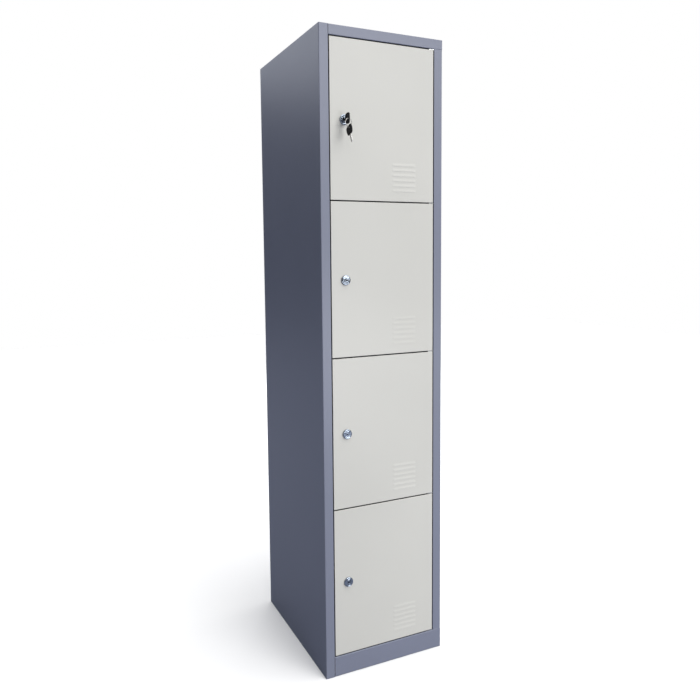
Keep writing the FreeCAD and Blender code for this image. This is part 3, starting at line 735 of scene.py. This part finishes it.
def door_pan(number, low, high):
    """Folded sheet of a door, before its holes."""
    made = bmesh.new()
    across, up, points = door_face(made, low, high)
    last_column, last_row = len(across) - 1, len(up) - 1
    rim, corners = door_rim(last_column, last_row)
    edges, folds = door_returns(made, points, rim, corners, high.y)
    folds += door_lips(made, edges, last_column, last_row)
    mark_folds(made, folds)
    front = max(made.faces, key=lambda face: face.calc_area())
    pan = surface_object(f"door_{number}_pan", made, front, (0, -1, 0))
    fold_sheet(pan, FOLD, SHEET)
    return pan


def make_door(number):
    """Door pan in thin sheet, with smooth pressed louvres and its lock and bush holes."""
    node = f"door_skin_{number}"
    low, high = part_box(node)
    door = door_pan(number, low, high)
    lock, bush = middle(f"lock_housing_{number}"), middle(f"door_bushes_{number}")
    face = low.y + LOUVRE_PROUD
    cutters = [round_cutter((lock.x, face, lock.z), (0, 1, 0), BARREL_HOLE, 4 * SHEET)]
    for level in (low.z, high.z):
        cutters.append(round_cutter((bush.x, bush.y, level), (0, 0, 1), BUSH_HOLE, 4 * SHEET))
    cut(door, cutters)
    finish_piece(door, node)


STIFFENER_FOOT = 10 * MM
STIFFENER_BEND = 1.4 * MM


def make_stiffener(number):
    """Hat channel folded from sheet, welded by its two feet inside the door."""
    node = f"door_stiffener_{number}"
    low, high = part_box(node)
    foot = low.y + SHEET
    left, right = low.x + STIFFENER_FOOT, high.x - STIFFENER_FOOT
    corners = [(low.x, foot), (left, foot), (left, high.y), (right, high.y), (right, foot),
               (high.x, foot)]
    made = bmesh.new()
    lower = [made.verts.new((x, y, low.z)) for x, y in corners]
    upper = [made.verts.new((x, y, high.z)) for x, y in corners]
    for index in range(len(corners) - 1):
        made.faces.new((lower[index + 1], lower[index], upper[index], upper[index + 1]))
    mark_folds(made, list(zip(lower, upper))[1:-1])
    ridge = max(made.faces, key=lambda face: face.calc_center_median().y)
    channel = surface_object(f"door_{number}_hat_channel", made, ridge, (0, 1, 0))
    fold_sheet(channel, STIFFENER_BEND, SHEET)
    finish_piece(channel, node)


# ---- locks -----------------------------------------------------------------------------

HEAD = 5 * MM
HEAD_RADIUS = 14 * MM
HEAD_ROUND = 2.2 * MM
HEAD_BREAK = 0.3 * MM
COLLAR = 7.2 * MM
DISH_INNER = 8.4 * MM
DISH_OUTER = 10.6 * MM
DISH_DEPTH = 0.6 * MM
BORE = 6.25 * MM
BARREL = 9 * MM
BARREL_END = 24 * MM
BARREL_FLAT = 8 * MM
THREAD_PITCH = 1.0 * MM
THREAD_DEPTH = 0.45 * MM
PLUG = 6 * MM
PLUG_FACE = -4.6 * MM
PLUG_REAR = 24.3 * MM
PLUG_TAIL = 26.2 * MM
PLUG_CHAMFER = 0.4 * MM
TAIL_HALF = 4 * MM
TAIL_PLAY = 0.1 * MM
KEYWAY_HALF_HIGH = 3.8 * MM
KEYWAY_HALF_WIDE = 1.3 * MM
KEYWAY_END = 18 * MM
NUT_SEGMENTS = 96
NUT_CHAMFER = math.radians(30)
CAM_ARM_HALF = 8 * MM
CAM_TIP_ROUND = 5 * MM
CAM_SCREW = 4.75 * MM
CAM_SCREW_HEAD = 2.6 * MM
CAM_SCREW_SHANK = 1.75 * MM
PAST = 1 * MM  # how far a cutter reaches past the face that it cuts


def lock_centre(number):
    """Point on a door's face at the middle of its lock."""
    centre = middle(f"lock_housing_{number}")
    centre.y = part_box(f"lock_housing_{number}")[0].y + HEAD
    return centre


def lock_place(number):
    """Matrix on a door's face at its lock, with Z pointing into the locker."""
    return facing(lock_centre(number), (0, 1, 0))


def thread(start, end, crest):
    """Zigzag outline of a thread's ridges from start to end."""
    points = []
    count = int((end - start) / THREAD_PITCH)
    for turn in range(count):
        points.append((start + turn * THREAD_PITCH, crest - THREAD_DEPTH))
        points.append((start + (turn + 0.5) * THREAD_PITCH, crest))
    points.append((start + count * THREAD_PITCH, crest - THREAD_DEPTH))
    return points


def housing_outline():
    """Section of the lock's housing: bore, collar, dish, rolled rim and threaded barrel."""
    face, dish = -HEAD, -HEAD + DISH_DEPTH
    outline = [(face + 0.5 * MM, BORE)]
    outline += arc(face + HEAD_BREAK, BORE + HEAD_BREAK, HEAD_BREAK, 270, 180, 4)[1:]
    outline += [(face, COLLAR), (face + 0.5 * MM, COLLAR + 0.6 * MM), (dish, DISH_INNER),
                (dish, DISH_OUTER), (dish - 0.2 * MM, DISH_OUTER + 0.5 * MM)]
    outline += arc(face + HEAD_ROUND, HEAD_RADIUS - HEAD_ROUND, HEAD_ROUND, 180, 90, 8)
    outline += arc(-HEAD_BREAK, HEAD_RADIUS - HEAD_BREAK, HEAD_BREAK, 90, 0, 3)
    outline += [(0, BARREL - THREAD_DEPTH)]
    outline += thread(1.2 * MM, BARREL_END - 0.8 * MM, BARREL)
    outline += [(BARREL_END, BARREL - 0.9 * MM), (BARREL_END, BORE)]
    return outline


def make_housing(number):
    """Chrome lock head and its threaded barrel, which has a flat on either side."""
    made = bmesh.new()
    lathe(made, housing_outline(), Matrix.Identity(4), 96)
    for vert in made.verts:
        if vert.co.z > 1.0 * MM:
            vert.co.x = min(BARREL_FLAT, max(-BARREL_FLAT, vert.co.x))
    made.transform(lock_place(number))
    new_piece(f"lock_{number}_housing", made, f"lock_housing_{number}")


def make_plug(number):
    """Turning plug with a chamfered face, a keyway and a square tail."""
    place = lock_place(number)
    outline = [(PLUG_FACE, 0), (PLUG_FACE, PLUG - PLUG_CHAMFER), (PLUG_FACE + PLUG_CHAMFER, PLUG),
               (PLUG_REAR - PLUG_CHAMFER, PLUG), (PLUG_REAR, PLUG - PLUG_CHAMFER), (PLUG_REAR, 0)]
    made = bmesh.new()
    lathe(made, outline, place, 64)
    plug = loose_object(f"lock_{number}_plug", made)
    half = TAIL_HALF - TAIL_PLAY
    tail = rectangle(-half, half, -half, half)
    combine(plug, [loose_prism("tail", tail, PLUG_REAR - 1.5 * MM, PLUG_TAIL, place)], "UNION")
    slot = rounded_rectangle(KEYWAY_HALF_HIGH, KEYWAY_HALF_WIDE, 0.5 * MM)
    cut(plug, [loose_prism("keyway", slot, PLUG_FACE - PAST, KEYWAY_END, place)])
    soften(plug, 0.12 * MM)
    finish_piece(plug, f"lock_plug_{number}")


def nut_section(angle, flats, thick):
    """Section of a chamfered hexagon nut at an angle, as (along, out) points."""
    towards = math.cos((angle - math.pi / 6) % (math.pi / 3) - math.pi / 6)
    reach = flats / towards
    face_reach = min(reach, flats * 1.02)
    drop = (reach - face_reach) * math.tan(NUT_CHAMFER)
    return [(0.35 * MM, BARREL), (0, BARREL + 0.5 * MM), (0, face_reach), (drop, reach),
            (thick - drop, reach), (thick, face_reach), (thick, BARREL + 0.5 * MM),
            (thick - 0.35 * MM, BARREL)]


def make_nut(number):
    """Thin hexagon nut with both rims chamfered."""
    node = f"lock_nut_{number}"
    low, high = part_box(node)
    made = bmesh.new()
    loops = []
    for step in range(NUT_SEGMENTS):
        angle = 2 * math.pi * step / NUT_SEGMENTS
        section = nut_section(angle, (high.z - low.z) / 2, high.y - low.y)
        loops.append([made.verts.new((out * math.sin(angle), along, out * math.cos(angle)))
                      for along, out in section])
    for first, second in zip(loops, loops[1:] + loops[:1]):
        join_loops(made, first, second)
    centre = middle(node)
    turn = Matrix.Rotation(math.radians(30), 4, "Y")
    made.transform(Matrix.Translation((centre.x, low.y, centre.z)) @ turn)
    new_piece(f"lock_{number}_nut", made, node, 20)


def pan_head(made, place, radius, height, shank, length):
    """Screw with a domed head above Z = 0 and its shank below."""
    outline = [(-length, 0), (-length + 0.4 * MM, shank * 0.7), (-length + 1.2 * MM, shank),
               (0, shank), (0, radius - 0.1 * MM), (0.1 * MM, radius)]
    for step in range(7):
        angle = math.radians(90 * step / 6)
        outline.append((height * (0.45 + 0.55 * math.sin(angle)), radius * math.cos(angle)))
    lathe(made, outline, place, 40)


def cross_head_screw(name, place, radius, height, shank, length):
    """Pan-head screw with a cross recess, not yet finished."""
    made = bmesh.new()
    pan_head(made, place, radius, height, shank, length)
    screw = loose_object(name, made)
    for turn in (0, 90):
        made = bmesh.new()
        spin = place @ Matrix.Rotation(math.radians(turn), 4, "Z")
        wedge(made, spin, height, radius * 0.55, radius * 0.13, height * 0.6)
        cut(screw, [loose_object("recess", made)])
    return screw


def wedge(made, place, top, reach, half, depth):
    """Bar that tapers downwards, for one arm of a cross recess."""
    outline = rectangle(-reach, reach, -half, half)
    levels = ((top + 0.5 * MM, 1.0, 1.0), (top - 0.15 * MM, 1.0, 1.0), (top - depth, 0.5, 0.75))
    loops = []
    for level, along, across in levels:
        loops.append([made.verts.new(place @ Vector((x * along, y * across, level)))
                      for x, y in outline])
    made.faces.new(loops[0])
    made.faces.new(loops[-1][::-1])
    for first, second in zip(loops, loops[1:]):
        join_loops(made, second, first)


def cam_outline(hub, tip):
    """Outline of a cam: a round hub and an arm that reaches down to the tip."""
    start = math.degrees(math.asin(CAM_ARM_HALF / hub))
    across, down = CAM_ARM_HALF - CAM_TIP_ROUND, CAM_TIP_ROUND - tip
    outline = arc(0, 0, hub, -90 + start, 270 - start, 40)
    outline += arc(-across, down, CAM_TIP_ROUND, 180, 270, 8)
    outline += arc(across, down, CAM_TIP_ROUND, 270, 360, 8)
    return outline


def make_cam(number):
    """Flat steel cam with softened edges and a square hole on the plug's tail."""
    node = f"lock_cam_{number}"
    low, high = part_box(node)
    hub, thick = (high.x - low.x) / 2, high.y - low.y
    axis_z = high.z - hub
    place = Matrix.Translation((middle(node).x, low.y, axis_z))
    place = place @ Matrix.Rotation(math.radians(90), 4, "X")
    cam = loose_prism(f"lock_{number}_cam", cam_outline(hub, axis_z - low.z), -thick, 0, place)
    hole = rectangle(-TAIL_HALF, TAIL_HALF, -TAIL_HALF, TAIL_HALF)
    cut(cam, [loose_prism("square_hole", hole, -thick - PAST, PAST, place)])
    soften(cam, 0.25 * MM)
    finish_piece(cam, node)


def make_cam_screw(number):
    """Pan-head screw on the back of the cam."""
    node = f"cam_screw_{number}"
    low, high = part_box(node)
    centre = middle(node)
    seat = high.y - CAM_SCREW_HEAD
    place = facing((centre.x, seat, centre.z), (0, 1, 0))
    screw = cross_head_screw(f"lock_{number}_cam_screw", place, CAM_SCREW, CAM_SCREW_HEAD,
                             CAM_SCREW_SHANK, seat - low.y)
    finish_piece(screw, node)


# ---- keys ------------------------------------------------------------------------------

BLADE_TIP = 17 * MM
BLADE_TANG = -18 * MM
BLADE_HALF = 3.5 * MM
BLADE_THICK = 1.0 * MM
BITTING_PITCH = 4 * MM
BITTING_DEPTH = 1.5 * MM
BITTING_CUTS = 4
GROOVE_HALF = 0.7 * MM
POCKET = 0.4 * MM
BOW_INNER = -8 * MM
BOW_OUTER = -34 * MM
BOW_HALF = 15 * MM
BOW_THICK = 1.7 * MM
BOW_HOLE = -29.5 * MM
BOW_HOLE_RADIUS = 3 * MM
SPARE_TURN = math.radians(2)
SPARE_TILT = math.radians(24)
SPARE_HANG = 1.6 * MM
RING_WIRE = 0.9 * MM
RING_HALF_WIDE = 0.7 * MM
RING_HALF_LAYER = 0.44 * MM
RING_TURNS = 2
RING_STEP = 0.35  # radians over which the wire steps onto its own first turn, on either side
RING_STEPS = 168
RING_SIDES = 12
RING_TURN = math.radians(12)

# A key lies in its own Y-Z plane: Y runs along the blade to its tip, X is its thickness.
KEY_PLANE = Matrix(((0, 0, 1, 0), (1, 0, 0, 0), (0, 1, 0, 0), (0, 0, 0, 1)))


def pocket_cutter(name, outline, half_thick, side, plane):
    """Cutter for a shallow pocket in one face of a flat piece."""
    floor, outside = side * (half_thick - POCKET), side * (half_thick + PAST)
    return loose_prism(name, outline, min(floor, outside), max(floor, outside), plane)


def blade_outline():
    """Outline of a key blade: pointed, and notched along one edge."""
    half, tip = BLADE_HALF, BLADE_TIP
    outline = [(BLADE_TANG, half), (tip - half, half), (tip - 0.6 * MM, 0.5 * MM),
               (tip - 0.6 * MM, -0.5 * MM), (tip - half, -half)]
    for notch in range(BITTING_CUTS):
        start = tip - half - 1 * MM - notch * BITTING_PITCH
        depth = BITTING_DEPTH * (0.6 + 0.4 * math.cos(notch * 2.1))
        outline += [(start, -half), (start - depth, depth - half),
                    (start - 2 * BITTING_DEPTH + depth, depth - half),
                    (start - 2 * BITTING_DEPTH, -half)]
    outline.append((BLADE_TANG, -half))
    return outline


def make_blade(name, node, place):
    """Key blade with a groove along each face."""
    plane = place @ KEY_PLANE
    blade = loose_prism(name, blade_outline(), -BLADE_THICK, BLADE_THICK, plane)
    cutters = []
    for side, level in ((1, 0.9 * MM), (-1, -0.4 * MM)):
        groove = rectangle(BLADE_TANG / 2, BLADE_TIP + PAST, level - GROOVE_HALF,
                           level + GROOVE_HALF)
        cutters.append(pocket_cutter("groove", groove, BLADE_THICK, side, plane))
    cut(blade, cutters)
    soften(blade, 0.12 * MM)
    finish_piece(blade, node)


def bow_outline(inset):
    """Rounded key bow that narrows towards the blade, drawn in by an inset."""
    points = []
    middle_along, reach = (BOW_INNER + BOW_OUTER) / 2, (BOW_INNER - BOW_OUTER) / 2
    for step in range(72):
        angle = 2 * math.pi * step / 72
        along, across = squared(math.cos(angle), 0.45), squared(math.sin(angle), 0.45)
        narrow = 1 - 0.12 * ease((along + 0.35) / 1.35)
        points.append((middle_along + along * (reach - inset), across * (BOW_HALF - inset) * narrow))
    return points


def make_bow(name, node, place):
    """Moulded bow: soft rim, shallow panel on both faces, ring hole and a slot for the tang."""
    plane = place @ KEY_PLANE
    bow = loose_prism(name, bow_outline(0), -BOW_THICK, BOW_THICK, plane)
    soften(bow, 0.9 * MM, 4, 60)
    cutters = [pocket_cutter("panel", bow_outline(2.6 * MM), BOW_THICK, side, plane)
               for side in (1, -1)]
    hole = plane @ Vector((BOW_HOLE, 0, 0))
    across = (plane.to_3x3() @ Vector((0, 0, 1))).normalized()
    cutters.append(round_cutter(hole, across, BOW_HOLE_RADIUS, 4 * BOW_THICK))
    slot = rectangle(BLADE_TANG, BOW_INNER + PAST, -BLADE_HALF, BLADE_HALF)
    cutters.append(loose_prism("slot", slot, -BLADE_THICK, BLADE_THICK, plane))
    cut(bow, cutters)
    soften(bow, 0.15 * MM, 2, 40)
    finish_piece(bow, node)


def wire_section(angle, radius, rise):
    """Loop of points round the ring's flat wire at an angle, in the ring's own frame."""
    points = []
    for side in range(RING_SIDES):
        around = 2 * math.pi * side / RING_SIDES
        out = radius + squared(math.cos(around), 0.7) * RING_HALF_WIDE
        up = rise + squared(math.sin(around), 0.7) * RING_HALF_LAYER
        points.append(Vector((out * math.cos(angle), out * math.sin(angle), up)))
    return points


def make_key_ring():
    """Split ring: a flat wire that goes round twice and steps over itself."""
    low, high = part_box("key_ring")
    place = facing(middle("key_ring"), (-math.sin(RING_TURN), math.cos(RING_TURN), 0))
    radius = (high.z - low.z) / 2 - RING_WIRE
    start, end = RING_STEP, 2 * math.pi * RING_TURNS - RING_STEP
    made = bmesh.new()
    loops = []
    for step in range(RING_STEPS + 1):
        angle = start + (end - start) * step / RING_STEPS
        layer = ease((angle - 2 * math.pi + RING_STEP) / (2 * RING_STEP)) * 2 - 1
        section = wire_section(angle, radius, layer * RING_HALF_LAYER * 1.02)
        loops.append([made.verts.new(place @ point) for point in section])
    for first, second in zip(loops, loops[1:]):
        join_loops(made, first, second)
    made.faces.new(loops[0][::-1])
    made.faces.new(loops[-1])
    new_piece("split_ring", made, "key_ring", 45)


def hanging_place():
    """Matrix of the spare key, which hangs by its bow's hole from the bottom of the ring."""
    wire = middle("key_ring")
    wire.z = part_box("key_ring")[0].z + RING_WIRE
    turn = Matrix.Rotation(SPARE_TURN, 4, "Z")
    turn = turn @ Matrix.Rotation(-math.pi / 2 - SPARE_TILT, 4, "X")
    blade_way = (turn.to_3x3() @ Vector((0, 1, 0))).normalized()
    return Matrix.Translation(wire + blade_way * (SPARE_HANG - BOW_HOLE)) @ turn


def make_keys():
    """The key in the top lock, its ring and the spare key that hangs from it."""
    in_lock = Matrix.Translation(lock_centre(1))
    make_blade("key_steel_blade", "key_blade", in_lock)
    make_bow("key_moulded_bow", "key_bow", in_lock)
    make_key_ring()
    hanging = hanging_place()
    make_blade("spare_key_steel_blade", "spare_key_blade", hanging)
    make_bow("spare_key_moulded_bow", "spare_key_bow", hanging)


# ---- small fittings --------------------------------------------------------------------

BUMPER_RADIUS = 4 * MM
BUMPER_INSET = 40 * MM
BACK_SCREW_HEAD = 4 * MM
BACK_SCREW_ROWS = 6
BACK_SCREW_MARGIN = 70 * MM
BRACKET_THICK = 1.5 * MM
RIVET_FIRST = 7 * MM
RIVET_PITCH = 8 * MM
RIVET_HEAD = 3 * MM
RIVET_SHANK = 1.6 * MM
BACK_SCREW_SHANK = 1.7 * MM
BACK_SCREW_TURN = 37  # degrees between one cross recess and the next
BUSH_RADIUS = 3.6 * MM
BUSH_BORE = 2.55 * MM
BUSH_FLANGE = 0.7 * MM
BUSH_LENGTH = 4 * MM
PIN = 2.5 * MM
PIN_REACH = 6.5 * MM


def make_bumpers():
    """Domed rubber buttons that the closed doors rest against."""
    low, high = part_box("door_bumpers")
    height = high.y - low.y
    made = bmesh.new()
    outline = [(0, 0), (0, BUMPER_RADIUS), (0.5 * MM, BUMPER_RADIUS)]
    outline += [(0.7 * MM, BUMPER_RADIUS - 0.4 * MM)]
    outline += arc(height - 1.2 * MM, BUMPER_RADIUS - 1.6 * MM, 1.2 * MM, 90, 0, 6)
    outline += [(height - 0.15 * MM, 0.9 * MM), (height - 0.2 * MM, 0)]
    for door in DOORS:
        door_low, door_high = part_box(f"door_skin_{door}")
        for level in (door_low.z + BUMPER_INSET, door_high.z - BUMPER_INSET):
            lathe(made, outline, facing(((low.x + high.x) / 2, high.y, level), (0, -1, 0)), 40)
    new_piece("rubber_buttons", made, "door_bumpers")


def back_screw_places():
    """Middles of the back panel's screw heads, as (x, z)."""
    low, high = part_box("back_panel_screws")
    floor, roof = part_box("bottom_panel")[1].z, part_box("top_panel")[0].z
    first, last = floor + BACK_SCREW_MARGIN, roof - BACK_SCREW_MARGIN
    places = []
    for x in (low.x + BACK_SCREW_HEAD, high.x - BACK_SCREW_HEAD):
        for row in range(BACK_SCREW_ROWS):
            places.append((x, first + (last - first) * row / (BACK_SCREW_ROWS - 1)))
    for x in (CAD_LOW.x / 2, 0, CAD_HIGH.x / 2):
        places += [(x, low.z + BACK_SCREW_HEAD), (x, high.z - BACK_SCREW_HEAD)]
    return places


def make_back_screws():
    """Pan-head screws with cross recesses round the edge of the back."""
    low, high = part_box("back_panel_screws")
    model = cross_head_screw("back_screw", Matrix.Identity(4), BACK_SCREW_HEAD, high.y,
                             BACK_SCREW_SHANK, -low.y)
    made = bmesh.new()
    for index, (x, z) in enumerate(back_screw_places()):
        spin = Matrix.Rotation(math.radians(BACK_SCREW_TURN * index), 4, "Z")
        one = bmesh.new()
        one.from_mesh(model.data)
        one.transform(facing((x, 0, z), (0, 1, 0)) @ spin)
        copy = bpy.data.meshes.new("copy")
        one.to_mesh(copy)
        one.free()
        made.from_mesh(copy)
        bpy.data.meshes.remove(copy)
    bpy.data.objects.remove(model)
    new_piece("back_screws", made, "back_panel_screws")


def gap_level(gap):
    """Height of the middle of a hinge bracket's tongue."""
    low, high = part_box(f"hinge_bracket_{gap}")
    return low.z + BRACKET_THICK / 2 if gap == GAPS[-1] else high.z - BRACKET_THICK / 2


def make_rivets():
    """Domed rivets through the stile's return and the legs of the hinge brackets."""
    low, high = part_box("hinge_rivets")
    made = bmesh.new()
    reach = high.x - low.x
    outline = [(0, 0), (0.1 * MM, 1.2 * MM), (0.35 * MM, 2.3 * MM), (0.6 * MM, RIVET_HEAD),
               (0.7 * MM, RIVET_HEAD), (0.7 * MM, RIVET_SHANK), (reach - 1 * MM, RIVET_SHANK),
               (reach - 1 * MM, 2.4 * MM), (reach - 0.5 * MM, 2.2 * MM),
               (reach - 0.1 * MM, 1.2 * MM), (reach, 0)]
    for gap in GAPS:
        side = 1 if gap == GAPS[-1] else -1
        for step in (0, 1):
            level = gap_level(gap) + side * (RIVET_FIRST + step * RIVET_PITCH)
            place = facing((low.x, (low.y + high.y) / 2, level), (1, 0, 0))
            lathe(made, outline, place, 32)
    new_piece("domed_rivets", made, "hinge_rivets")


def make_pins():
    """Pivot pins with rounded ends, staked in the brackets."""
    centre = middle("hinge_pins")
    made = bmesh.new()
    for gap in GAPS:
        up = BRACKET_THICK / 2 if gap == GAPS[0] else PIN_REACH
        down = BRACKET_THICK / 2 if gap == GAPS[-1] else PIN_REACH
        outline = [(-down, 0), (-down, PIN - 0.5 * MM), (-down + 0.15 * MM, PIN - 0.15 * MM),
                   (-down + 0.5 * MM, PIN), (up - 0.5 * MM, PIN), (up - 0.15 * MM, PIN - 0.15 * MM),
                   (up, PIN - 0.5 * MM), (up, 0)]
        lathe(made, outline, Matrix.Translation((centre.x, centre.y, gap_level(gap))), 40)
    new_piece("pivot_pins", made, "hinge_pins")


def make_bushes(number):
    """Flanged nylon bushes in the door's top and bottom returns."""
    node = f"door_bushes_{number}"
    low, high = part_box(node)
    centre = (low + high) / 2
    flange = (high.x - low.x) / 2
    made = bmesh.new()
    outline = [(0, BUSH_BORE + 0.2 * MM), (0, flange - 0.2 * MM), (0.2 * MM, flange),
               (BUSH_FLANGE, flange), (BUSH_FLANGE, BUSH_RADIUS),
               (BUSH_FLANGE + BUSH_LENGTH - 0.4 * MM, BUSH_RADIUS),
               (BUSH_FLANGE + BUSH_LENGTH, BUSH_RADIUS - 0.4 * MM),
               (BUSH_FLANGE + BUSH_LENGTH, BUSH_BORE), (0.2 * MM, BUSH_BORE)]
    lathe(made, outline, facing((centre.x, centre.y, low.z), (0, 0, 1)), 40)
    lathe(made, outline, facing((centre.x, centre.y, high.z), (0, 0, -1)), 40)
    new_piece(f"door_{number}_bushes", made, node)


# ---- all of it -------------------------------------------------------------------------


def paint_cad_nodes():
    """Give every CAD node the material of its slot."""
    for node, piece in frame["nodes"].items():
        piece.data.materials.clear()
        piece.data.materials.append(MATERIALS[SLOT_OF[node]])


def main():
    """Build the scene."""
    bpy.context.scene.view_settings.view_transform = "Standard"
    make_camera()
    make_world()
    make_lights()
    make_floor()
    paint_cad_nodes()
    make_seamed_panel("roof_and_rail", "top_panel")
    make_seamed_panel("floor_and_kick_plate", "bottom_panel")
    for number in DOORS:
        make_door(number)
        make_stiffener(number)
        make_bushes(number)
        make_housing(number)
        make_plug(number)
        make_nut(number)
        make_cam(number)
        make_cam_screw(number)
    make_keys()
    make_bumpers()
    make_back_screws()
    make_rivets()
    make_pins()


main()
